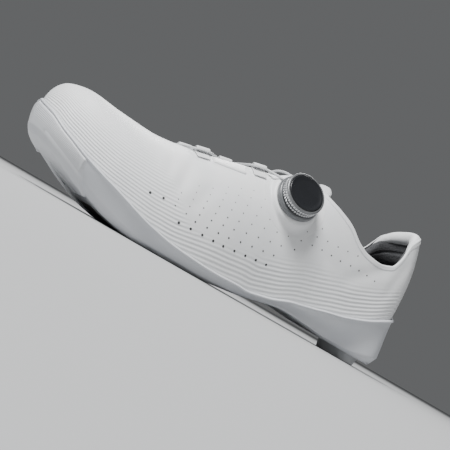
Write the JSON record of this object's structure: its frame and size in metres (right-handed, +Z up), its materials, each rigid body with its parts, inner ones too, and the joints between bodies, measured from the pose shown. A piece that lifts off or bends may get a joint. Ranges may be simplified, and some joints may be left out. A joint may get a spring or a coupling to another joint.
{
  "type": "road cycling shoe",
  "caption": "Left road cycling shoe with a stiff lipped sole, cleat window, moulded upper, tongue and a side lace dial.",
  "frame": {"origin": "middle of the bounding box, on the floor under the shoe", "axes": "+Y towards the heel, -Y towards the toe, +X towards the outer side of the left foot, +Z up"},
  "size_m": [0.1006, 0.2902, 0.104],
  "materials": {
    "sole": "smooth satin white composite",
    "bumper": "satin white rubber",
    "heel_pad": "matt light grey rubber",
    "plate": "satin dark composite with a faint twill",
    "nut": "dark threaded steel",
    "vent": "matt black",
    "insole": "dark textile",
    "upper": "satin white synthetic with fine ridges and pinholes",
    "tongue": "matt white textile",
    "facing": "smooth white synthetic",
    "webbing": "woven white tape",
    "lace": "thin coated cable",
    "dial_pad": "white moulding",
    "dial_base": "dark grey moulding",
    "dial_ring": "satin silver with knurls",
    "dial_cap": "black gloss"
  },
  "bodies": {
    "root": {"outsole": "sole", "toe_bumper": "bumper", "heel_pad": "heel_pad", "cleat_plate": "plate", "cleat_nut_front": "nut", "cleat_nut_lateral": "nut", "cleat_nut_medial": "nut", "vent_lateral": "vent", "vent_medial": "vent", "insole": "insole", "upper": "upper", "tongue": "tongue", "facing_lateral": "facing", "facing_medial": "facing", "guide_lateral_front": "webbing", "guide_lateral_rear": "webbing", "guide_medial_front": "webbing", "guide_medial_middle": "webbing", "guide_medial_rear": "webbing", "lace_long": "lace", "lace_short": "lace", "dial_pad": "dial_pad", "dial_base": "dial_base", "dial_ring": "dial_ring", "dial_cap": "dial_cap"}
  },
  "joints": []
}
